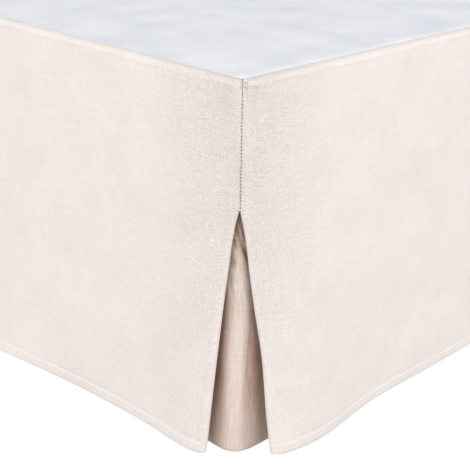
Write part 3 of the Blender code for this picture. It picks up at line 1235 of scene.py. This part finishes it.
@dataclass(frozen=True)
class Deck:
    """The platform that lies on the base, softly rumpled, with its corners cut round."""

    cut: SkirtCut
    step: float = 0.012
    columns: int = 128
    ripple: float = 0.0016
    calm_edge: float = 0.05

    def build(self, material: bpy.types.Material) -> None:
        """Makes the deck from rows across the bed.

        Args:
            material: The cloth's finish.
        """
        low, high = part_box("deck")
        cut = self.cut
        radius = cut.corner_radius - cut.seam_inset - cut.deck_gap
        corner = low.y + radius * (1 - np.cos(np.linspace(0.0, math.pi / 2, 9)))
        straight = np.arange(low.y + radius + self.step, high.y - self.step / 2, self.step)
        rows = np.hstack([corner, straight, high.y])
        into = np.clip((low.y + radius - rows) / radius, 0.0, 1.0)
        drawn_in = radius * (1 - np.sqrt(1 - into**2))
        columns = np.linspace(-1.0, 1.0, self.columns)
        middle, half = (low.x + high.x) / 2, (high.x - low.x) / 2
        x = middle + columns[None, :] * (half - drawn_in[:, None])
        y = np.broadcast_to(rows[:, None], x.shape)
        edge = np.minimum(np.minimum(x - low.x, high.x - x), y - low.y)
        calm = ease(edge / self.calm_edge)
        rumples = (Unevenness(5, 0.16, 0.19, 1.0), Unevenness(6, 0.07, 0.09, 0.35))
        rumple = sum(uneven.at(x + 2, y + 3) for uneven in rumples)
        z = high.z - cut.cloth / 2 + calm * self.ripple * (1 + rumple)
        points = np.stack([x, y, z], axis=-1)
        unrolled = np.stack([x, y], axis=-1)
        piece = ClothPiece("deck_cloth_sheet", points, unrolled, np.full_like(x, 1.0), np.zeros_like(x))
        piece.thicken(cut.cloth)
        dress(piece.object, material, ["deck"])


# --------------------------------------------------------------------------- thread


@dataclass(frozen=True)
class Stitches:
    """Stitches of one size, modelled once and set in rows."""

    length: float
    radius: float
    sides: int = 6

    def pattern(self) -> tuple[Array, list[list[int]]]:
        """Models one stitch along X with its rounded back up Z and its ends sunk in the cloth.

        Returns:
            Its points and its faces.
        """
        bpy.ops.object.select_all(action="DESELECT")
        bpy.ops.mesh.primitive_cylinder_add(
            vertices=self.sides, radius=self.radius, depth=self.length, rotation=(0.0, math.pi / 2, 0.0)
        )
        stitch = bpy.context.object
        bpy.ops.object.transform_apply(location=True, rotation=True, scale=True)
        bpy.ops.object.mode_set(mode="EDIT")
        for share in (-0.3, 0.0, 0.3):
            bpy.ops.mesh.select_all(action="SELECT")
            cut_at = (share * self.length, 0.0, 0.0)
            bpy.ops.mesh.bisect(plane_co=cut_at, plane_no=(1.0, 0.0, 0.0))
        bpy.ops.object.mode_set(mode="OBJECT")
        points = np.array([v.co for v in stitch.data.vertices])
        faces = [list(face.vertices) for face in stitch.data.polygons]
        bpy.data.objects.remove(stitch)
        towards_end = np.abs(points[:, 0]) / (self.length / 2)
        points[:, 1:] *= (1 - 0.45 * towards_end**2)[:, None]
        points[:, 2] += self.radius * (0.35 - 1.2 * towards_end**2)
        return points, faces

    def sew(
        self, name: str, centres: Array, ahead: Array, outward: Array, material: bpy.types.Material
    ) -> None:
        """Sets the stitches and joins them into one piece.

        Args:
            name: The piece's name.
            centres: The middle of each stitch.
            ahead: Which way each stitch runs.
            outward: Which way the cloth faces at each stitch.
            material: The thread's finish.
        """
        points, faces = self.pattern()
        ahead = ahead / np.linalg.norm(ahead, axis=1, keepdims=True)
        across = np.cross(outward, ahead)
        across /= np.linalg.norm(across, axis=1, keepdims=True)
        turned = np.stack([ahead, across, np.cross(ahead, across)], axis=1)
        placed = np.einsum("pj,njk->npk", points, turned) + centres[:, None, :]
        firsts = [len(points) * number for number in range(len(centres))]
        joined = [[first + corner for corner in face] for first in firsts for face in faces]
        mesh = bpy.data.meshes.new(name)
        mesh.from_pydata(placed.reshape(-1, 3).tolist(), [], joined)
        piece = bpy.data.objects.new(name, mesh)
        bpy.context.collection.objects.link(piece)
        select_only(piece)
        bpy.ops.object.shade_smooth()
        dress(piece, material)


HEM_STITCHES = Stitches(0.0027, 0.00022)
HEM_STITCH_GAP = 0.0009
LADDER_STITCHES = Stitches(0.0032, 0.00044)
TACK_STITCHES = Stitches(0.0020, 0.00024)
APEX_STITCHES = Stitches(0.0017, 0.00024)


def sew_hem(name: str, line: Array, cut: SkirtCut, material: bpy.types.Material) -> None:
    """Sews a row of stitches along a panel's hem line.

    Args:
        name: The thread's name.
        line: Points along the middle of the cloth at the stitch line.
        cut: The skirt's cut.
        material: The thread's finish.
    """
    pitch = HEM_STITCHES.length + HEM_STITCH_GAP
    gone = np.concatenate([[0.0], np.cumsum(np.linalg.norm(np.diff(line, axis=0), axis=1))])
    places = np.arange(pitch, gone[-1] - pitch, pitch)
    centres, next_places = (
        np.stack([np.interp(place, gone, line[:, axis]) for axis in range(3)], axis=1)
        for place in (places, places + pitch / 2)
    )
    ahead = next_places - centres
    upward = np.array([0.0, 0.0, 1.0])
    outward = np.cross(ahead, upward)
    outward /= np.linalg.norm(outward, axis=1, keepdims=True)
    middle = np.array([(cut.left + cut.right) / 2, (cut.foot + cut.head) / 2, 0.0])
    faces_in = np.mean(np.sum(outward * (centres - middle), axis=1)) < 0
    outward = -outward if faces_in else outward
    HEM_STITCHES.sew(name, centres + outward * cut.cloth / 2, ahead, outward, material)


@dataclass(frozen=True)
class Bar:
    """A bar of satin stitches across the corner seam.

    Its middle lies aside by a distance on the side panel's side of the seam.
    """

    name: str
    width: float
    stitches: Stitches
    aside: float = 0.0


TOP_BAR = Bar("top_tack_thread", 0.0068, TACK_STITCHES, 0.0012)
LOWER_BAR = Bar("lower_tack_thread", 0.0068, APEX_STITCHES, 0.0012)
APEX_BAR = Bar("apex_tack_thread", 0.0062, APEX_STITCHES)


@dataclass(frozen=True)
class CornerSewing:
    """The hand sewing at a corner: ladder stitches down the seam, and a bar tack at either end."""

    cut: SkirtCut
    hand: int
    slit_top: float
    pitch: float = 0.0031
    ladder_from: float = 0.0125
    tack_down: float = 0.0080
    tack_gap: float = 0.0032
    above_slit: float = 0.0012
    satin_pitch: float = 0.00047

    @property
    def side(self) -> str:
        """Which corner, in words."""
        return "right" if self.hand > 0 else "left"

    def across(self, signed: Array, down: Array, lift: float) -> tuple[Array, Array]:
        """Places on the cloth round the corner.

        Args:
            signed: Distance from the seam, foot side negative.
            down: Distance down the cloth.
            lift: Height above the cloth's middle.

        Returns:
            The places, and which way the cloth faces there.
        """
        cut = self.cut
        places = []
        for out in (lift, lift + 0.001):
            foot = cut.place(np.abs(signed), out, down, Edge.FOOT, self.hand)
            side = cut.place(np.abs(signed), out, down, Edge.SIDE, self.hand)
            places.append(np.where(signed[:, None] < 0, foot, side))
        return places[0], (places[1] - places[0]) / 0.001

    def ladder(self, material: bpy.types.Material) -> None:
        """Sews the ladder stitches that close the seam.

        Args:
            material: The thread's finish.
        """
        apex = self.cut.drop_end - (self.slit_top - self.cut.hem)
        down = np.arange(self.ladder_from, apex - self.pitch, self.pitch)
        centres, outward = self.across(np.zeros_like(down), down, self.cut.cloth * 0.55)
        beside = np.full_like(down, 0.001)
        ahead = self.across(beside, down, 0.0)[0] - self.across(-beside, down, 0.0)[0]
        wobble = np.random.default_rng(17 + self.hand).uniform(-1.0, 1.0, len(down))
        centres[:, 2] += wobble * 0.0002
        ahead[:, 2] += (0.25 + 0.2 * wobble) * 0.002
        LADDER_STITCHES.sew(f"corner_ladder_thread_{self.side}", centres, ahead, outward, material)

    def satin(self, bar: Bar, down: float, material: bpy.types.Material) -> None:
        """Sews a short bar of upright stitches side by side across the seam.

        Args:
            bar: The bar's name and sizes.
            down: Distance down the cloth.
            material: The thread's finish.
        """
        signed = np.arange(-bar.width / 2, bar.width / 2, self.satin_pitch) + bar.aside
        level = np.full_like(signed, down)
        centres, outward = self.across(signed, level, self.cut.cloth * 0.55)
        ahead = self.across(signed, level + 0.001, 0.0)[0] - self.across(signed, level, 0.0)[0]
        bar.stitches.sew(f"{bar.name}_{self.side}", centres, ahead, outward, material)

    def build(self, seam_thread: bpy.types.Material, tack_thread: bpy.types.Material) -> None:
        """Sews the corner from the top down.

        Args:
            seam_thread: Finish of the seam's thread.
            tack_thread: Finish of the tacks' thread.
        """
        apex = self.cut.drop_end - (self.slit_top - self.cut.hem)
        self.satin(TOP_BAR, self.tack_down, tack_thread)
        self.satin(LOWER_BAR, self.tack_down + self.tack_gap, tack_thread)
        self.ladder(seam_thread)
        self.satin(APEX_BAR, apex - self.above_slit, seam_thread)


# --------------------------------------------------------------------------- the bed base


@dataclass(frozen=True)
class BedBase:
    """The base under the deck: a tight cover over its frame, piped round the top and bottom edges."""

    corner: float = 0.030
    top_round: float = 0.014
    bottom_round: float = 0.006
    inset: float = 0.0016
    welt: float = 0.0023
    welt_proud: float = 0.0016
    corner_steps: int = 8

    def outline(self, inset: float, height: float) -> list[tuple[float, float, float]]:
        """Points round the base, drawn in by an inset.

        Args:
            inset: Distance in from the base's outer faces.
            height: Height of the points.

        Returns:
            The points, counter-clockwise from above.
        """
        low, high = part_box("bed_base")
        radius = self.corner - inset
        found = []
        corners = ((high.x, high.y), (low.x, high.y), (low.x, low.y), (high.x, low.y))
        for quarter, (x, y) in enumerate(corners):
            centre_x = x - math.copysign(self.corner, x - (low.x + high.x) / 2)
            centre_y = y - math.copysign(self.corner, y - (low.y + high.y) / 2)
            for step in range(self.corner_steps + 1):
                angle = (quarter + step / self.corner_steps) * math.pi / 2
                x_out, y_out = radius * math.cos(angle), radius * math.sin(angle)
                found.append((centre_x + x_out, centre_y + y_out, height))
        return found

    def cover(self) -> bpy.types.Object:
        """Models the covered box, with round upright corners and softened edges.

        Returns:
            The covered box.
        """
        low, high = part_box("bed_base")
        bpy.ops.object.select_all(action="DESELECT")
        bpy.ops.mesh.primitive_cube_add(size=1.0, location=(low + high) / 2)
        box = bpy.context.object
        box.name = "bed_base_cover"
        box.scale = high - low - Vector((2 * self.inset, 2 * self.inset, 0.0))
        bpy.ops.object.transform_apply(location=True, rotation=True, scale=True)
        self.round_edges(box, lambda a, b: abs(a.z - b.z) > 0.1, self.corner - self.inset, self.corner_steps)
        self.round_edges(box, lambda a, b: min(a.z, b.z) > high.z - 0.001, self.top_round, 5)
        self.round_edges(box, lambda a, b: max(a.z, b.z) < low.z + 0.001, self.bottom_round, 4)
        bpy.ops.object.shade_smooth_by_angle(angle=math.radians(40))
        return box

    def round_edges(
        self, box: bpy.types.Object, chosen: Callable[[Vector, Vector], bool], radius: float, steps: int
    ) -> None:
        """Bevels the edges that a test picks out.

        Args:
            box: The object, which is active.
            chosen: Says from its two ends whether an edge is rounded.
            radius: The rounding's radius.
            steps: Its number of segments.
        """
        mesh = box.data
        bpy.ops.object.mode_set(mode="EDIT")
        bpy.ops.mesh.select_mode(type="EDGE")
        bpy.ops.mesh.select_all(action="DESELECT")
        bpy.ops.object.mode_set(mode="OBJECT")
        for edge in mesh.edges:
            first, second = (mesh.vertices[end].co for end in edge.vertices)
            edge.select = chosen(first, second)
        bpy.ops.object.mode_set(mode="EDIT")
        bpy.ops.mesh.bevel(offset=radius, segments=steps, profile=0.5, affect="EDGES")
        bpy.ops.object.mode_set(mode="OBJECT")

    def piping(self, name: str, height: float) -> bpy.types.Object:
        """Models a round of piping that lies in the seam at a height.

        Args:
            name: The piping's name.
            height: How high it runs above the floor.

        Returns:
            The piping.
        """
        inset = self.inset + self.welt - self.welt_proud
        points = self.outline(inset, height)
        data = bpy.data.curves.new(name, "CURVE")
        data.dimensions = "3D"
        data.bevel_depth = self.welt
        data.bevel_resolution = 3
        line = data.splines.new("POLY")
        line.points.add(len(points) - 1)
        for point, place in zip(line.points, points):
            point.co = (*place, 1.0)
        line.use_cyclic_u = True
        piping = bpy.data.objects.new(name, data)
        bpy.context.collection.objects.link(piping)
        select_only(piping)
        bpy.ops.object.convert(target="MESH")
        bpy.ops.object.shade_smooth()
        return bpy.context.object

    def build(self, material: bpy.types.Material) -> None:
        """Makes the cover and its two rounds of piping.

        Args:
            material: The cover's finish.
        """
        low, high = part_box("bed_base")
        dress(self.cover(), material, ["bed_base"])
        dress(self.piping("top_piping", high.z - self.top_round), material)
        dress(self.piping("bottom_piping", low.z + self.bottom_round), material)


@dataclass(frozen=True)
class Leg:
    """A turned, tapered wooden leg."""

    node: str
    sides: int = 40
    foot_edge: float = 0.0022
    top_edge: float = 0.0010
    taper: float = 0.8

    def build(self, material: bpy.types.Material) -> None:
        """Turns the leg: a cylinder drawn in towards the floor, with both rims eased.

        Args:
            material: The wood's finish.
        """
        low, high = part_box(self.node)
        bpy.ops.object.select_all(action="DESELECT")
        bpy.ops.mesh.primitive_cylinder_add(
            vertices=self.sides, radius=(high.x - low.x) / 2, depth=high.z - low.z, location=(low + high) / 2
        )
        leg = bpy.context.object
        leg.name = f"{self.node}_turned"
        bpy.ops.object.transform_apply(location=True, rotation=True, scale=True)
        mesh = leg.data
        self.select_rim(mesh, low.z)
        middle = (low + high) / 2
        drawn_in = (self.taper, self.taper, 1.0)
        bpy.ops.transform.resize(value=drawn_in, center_override=(middle.x, middle.y, low.z))
        bpy.ops.mesh.bevel(offset=self.foot_edge, segments=4, affect="EDGES")
        bpy.ops.object.mode_set(mode="OBJECT")
        self.select_rim(mesh, high.z)
        bpy.ops.mesh.bevel(offset=self.top_edge, segments=3, affect="EDGES")
        bpy.ops.object.mode_set(mode="OBJECT")
        bpy.ops.object.shade_smooth_by_angle(angle=math.radians(35))
        dress(leg, material, [self.node])

    def select_rim(self, mesh: bpy.types.Mesh, height: float) -> None:
        """Selects the edges that lie at a height, and leaves the leg in edit mode.

        Args:
            mesh: The leg's mesh.
            height: How high the rim lies.
        """
        bpy.ops.object.mode_set(mode="EDIT")
        bpy.ops.mesh.select_mode(type="EDGE")
        bpy.ops.mesh.select_all(action="DESELECT")
        bpy.ops.object.mode_set(mode="OBJECT")
        for edge in mesh.edges:
            edge.select = all(abs(mesh.vertices[end].co.z - height) < 0.0001 for end in edge.vertices)
        bpy.ops.object.mode_set(mode="EDIT")


# --------------------------------------------------------------------------- camera and light


@dataclass(frozen=True)
class Softbox:
    """A square soft light, placed from what it lights."""

    name: str
    stands: tuple[float, float, float]
    size: float
    power: float
    colour: Colour

    def add(self, target: Vector) -> None:
        """Adds the light, facing its target.

        Args:
            target: The place that it faces.
        """
        data = bpy.data.lights.new(self.name, "AREA")
        data.shape = "SQUARE"
        data.size = self.size
        data.energy = self.power
        data.color = self.colour
        lamp = bpy.data.objects.new(self.name, data)
        bpy.context.collection.objects.link(lamp)
        lamp.location = target + Vector(self.stands)
        lamp.rotation_euler = (-Vector(self.stands)).to_track_quat("-Z", "Y").to_euler()


CORNER_SOFTBOXES = (
    Softbox("foot_softbox", (0.0, -2.9, 1.2), 3.2, 78.5, (1.0, 0.985, 0.97)),
    Softbox("side_softbox", (2.9, 0.2, 1.2), 3.2, 77.5, (1.0, 0.985, 0.97)),
)
FAR_SOFTBOXES = (
    Softbox("head_softbox", (0.4, 4.6, 1.3), 2.6, 60.0, (1.0, 0.99, 0.98)),
    Softbox("far_softbox", (-4.2, -0.3, 1.3), 2.6, 60.0, (1.0, 0.99, 0.98)),
)


@dataclass(frozen=True)
class Studio:
    """A pale floor, soft light and the camera at the foot corner."""

    cut: SkirtCut
    forward: float = 0.657
    aside: float = 0.642
    height: float = 0.617
    heading: float = -44.6
    dip: float = 22.0
    roll: float = 1.0
    lens: float = 85.25
    floor_size: float = 400.0
    room_light: float = 0.46
    lit_height: float = 0.2

    def camera(self) -> None:
        """Places the camera, level with neither edge, looking down at the foot corner."""
        data = bpy.data.cameras.new("camera")
        data.lens = self.lens
        data.sensor_width = 36.0
        data.clip_start, data.clip_end = 0.05, 60.0
        camera = bpy.data.objects.new("camera", data)
        bpy.context.collection.objects.link(camera)
        inset = self.cut.seam_inset
        camera.location = (
            self.cut.right - inset + self.aside,
            self.cut.foot + inset - self.forward,
            self.height,
        )
        heading, dip, roll = (math.radians(v) for v in (self.heading, self.dip, self.roll))
        ahead = Vector((math.sin(heading) * math.cos(dip), math.cos(heading) * math.cos(dip), -math.sin(dip)))
        right = Vector((math.cos(heading), -math.sin(heading), 0.0))
        above = right.cross(ahead)
        across = math.cos(roll) * right + math.sin(roll) * above
        upward = math.cos(roll) * above - math.sin(roll) * right
        turned = Matrix((across, upward, -ahead)).transposed()
        camera.rotation_euler = turned.to_euler()
        bpy.context.scene.camera = camera

    def floor(self) -> None:
        """Lays a plain white floor."""
        bpy.ops.object.select_all(action="DESELECT")
        bpy.ops.mesh.primitive_plane_add(size=self.floor_size, location=(0.0, 0.0, 0.0))
        floor = bpy.context.object
        floor.name = "floor"
        finish = {
            "Base Color": (0.30, 0.30, 0.30, 1.0),
            "Roughness": 0.9,
            "Specular IOR Level": 0.1,
            "Emission Color": (1.0, 1.0, 1.0, 1.0),
            "Emission Strength": 0.95,
        }
        floor.data.materials.append(Nodes("floor_paper").finish(finish))
        floor.visible_diffuse = False

    def light(self) -> None:
        """Lights the corner softly from the camera's side, with a bright room all round."""
        scene = bpy.context.scene
        scene.view_settings.view_transform = "Standard"
        world = bpy.data.worlds.new("room")
        world.use_nodes = True
        sky = world.node_tree.nodes["Background"]
        sky.inputs["Color"].default_value = (1.0, 1.0, 1.0, 1.0)
        sky.inputs["Strength"].default_value = self.room_light
        scene.world = world
        cut = self.cut
        corner = Vector((cut.right, cut.foot, self.lit_height))
        middle = Vector(((cut.left + cut.right) / 2, (cut.foot + cut.head) / 2, self.lit_height))
        for target, softboxes in ((corner, CORNER_SOFTBOXES), (middle, FAR_SOFTBOXES)):
            for softbox in softboxes:
                softbox.add(target)

    def build(self) -> None:
        """Sets up the camera, floor and light."""
        self.camera()
        self.floor()
        self.light()


# --------------------------------------------------------------------------- the whole object


IVORY_COTTON = WovenCloth(
    "ivory_cotton",
    (0.885, 0.845, 0.805),
    (0.895, 0.820, 0.815),
    (0.71, 0.65, 0.60),
)
# Painted shade: the insert is the panels' cotton made darker and warmer, and its deep brown shade colour is
# blended in by the painted-shade attribute across the pleat's flanks and the slit's top. Its negative seam
# value paints light, more towards the top.
SHADED_INSERT_COTTON = WovenCloth(
    "insert_cotton_painted_shade",
    (0.835, 0.755, 0.695),
    (0.825, 0.730, 0.670),
    (0.390, 0.240, 0.178),
    slub=0.30,
    warp_share=2.4,
    weft_share=0.3,
    mottle=0.30,
    crinkle=0.80,
    crinkle_reach=4.0,
    crinkle_tone=0.20,
    seam_painted_shade=-0.26,
    pleat_painted_shade=0.66,
    drags=0.0,
)
DECK_LINING = WovenCloth(
    "deck_lining",
    (0.86, 0.875, 0.912),
    (0.83, 0.86, 0.912),
    (0.70, 0.735, 0.80),
    slub=0.4,
    mottle=2.0,
    crinkle=0.2,
    crinkle_tone=0.1,
    drags=0.0,
)
SEAM_THREAD = SewingThread("seam_thread", (0.86, 0.80, 0.74))
TACK_THREAD = SewingThread("tack_thread", (0.74, 0.63, 0.55))
BASE_COVER = BaseTicking("base_ticking", (0.62, 0.60, 0.57), (0.47, 0.45, 0.42))
LEG_BEECH = TurnedWood("leg_beech", (0.50, 0.33, 0.19), (0.30, 0.17, 0.09))

FOOT_SLIT = Slit(0.271, 0.0405, 0.76)
SIDE_SLIT = Slit(0.268, 0.0440, 0.86, 0.003)

FOOT_FOLDS = (
    SoftFold(0.060, 0.030, 0.004),
    SoftFold(0.420, 0.110, 0.022),
    SoftFold(0.830, 0.120, 0.009),
    SoftFold(1.120, 0.090, 0.016),
    SoftFold(1.440, 0.045, 0.010),
)
RIGHT_FOLDS = (
    SoftFold(0.098, 0.052, 0.014),
    SoftFold(0.290, 0.060, 0.002),
    SoftFold(0.720, 0.130, 0.015),
    SoftFold(1.180, 0.150, 0.008),
    SoftFold(1.660, 0.120, 0.018),
)
LEFT_FOLDS = (
    SoftFold(0.085, 0.045, 0.012),
    SoftFold(0.480, 0.120, 0.018),
    SoftFold(0.960, 0.140, 0.007),
    SoftFold(1.400, 0.110, 0.016),
    SoftFold(1.840, 0.070, 0.008),
)
RIGHT_DENTS = (
    Dent(0.0075, 0.0185, 0.0050, 0.0066, 0.0046, 0.5),
    Dent(0.0080, 0.0075, 0.0050, 0.0022, -0.0006),
    Dent(0.0030, 0.0150, 0.0060, 0.0012, 0.0006),
)
FOOT_DENTS = (Dent(0.0090, 0.0170, 0.0080, 0.0011, 0.0006),)


def main() -> None:
    """Builds every piece, from the studio to the last stitch."""
    logging.basicConfig(level=logging.INFO, format="%(name)s: %(message)s")
    cut = SkirtCut.from_frame()
    Studio(cut).build()
    cotton = IVORY_COTTON.material()
    # The insert's cotton carries painted shade.
    insert_cloth_painted_shade = SHADED_INSERT_COTTON.material()
    thread = SEAM_THREAD.material()
    tack = TACK_THREAD.material()
    panels = (
        FootPanel(cut, Drape(cut, FOOT_SLIT, FOOT_FOLDS, FOOT_DENTS, 11), "foot_panel"),
        SidePanel(cut, Drape(cut, SIDE_SLIT, RIGHT_FOLDS, RIGHT_DENTS, 12), "side_panel_right", 1, 3.7),
        SidePanel(cut, Drape(cut, SIDE_SLIT, LEFT_FOLDS, FOOT_DENTS, 13), "side_panel_left", -1, 7.3),
    )
    for panel in panels:
        hem_line = panel.build(cotton)
        sew_hem(f"{panel.name}_hem_thread", hem_line, cut, thread)
    for hand in (1, -1):
        PleatInsert(cut, hand).build(insert_cloth_painted_shade)
        CornerSewing(cut, hand, max(FOOT_SLIT.top, SIDE_SLIT.top)).build(thread, tack)
    Deck(cut).build(DECK_LINING.material())
    BedBase().build(BASE_COVER.material())
    wood = LEG_BEECH.material()
    for node in sorted(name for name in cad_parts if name.startswith("leg_")):
        Leg(node).build(wood)


if __name__ == "__main__":
    main()
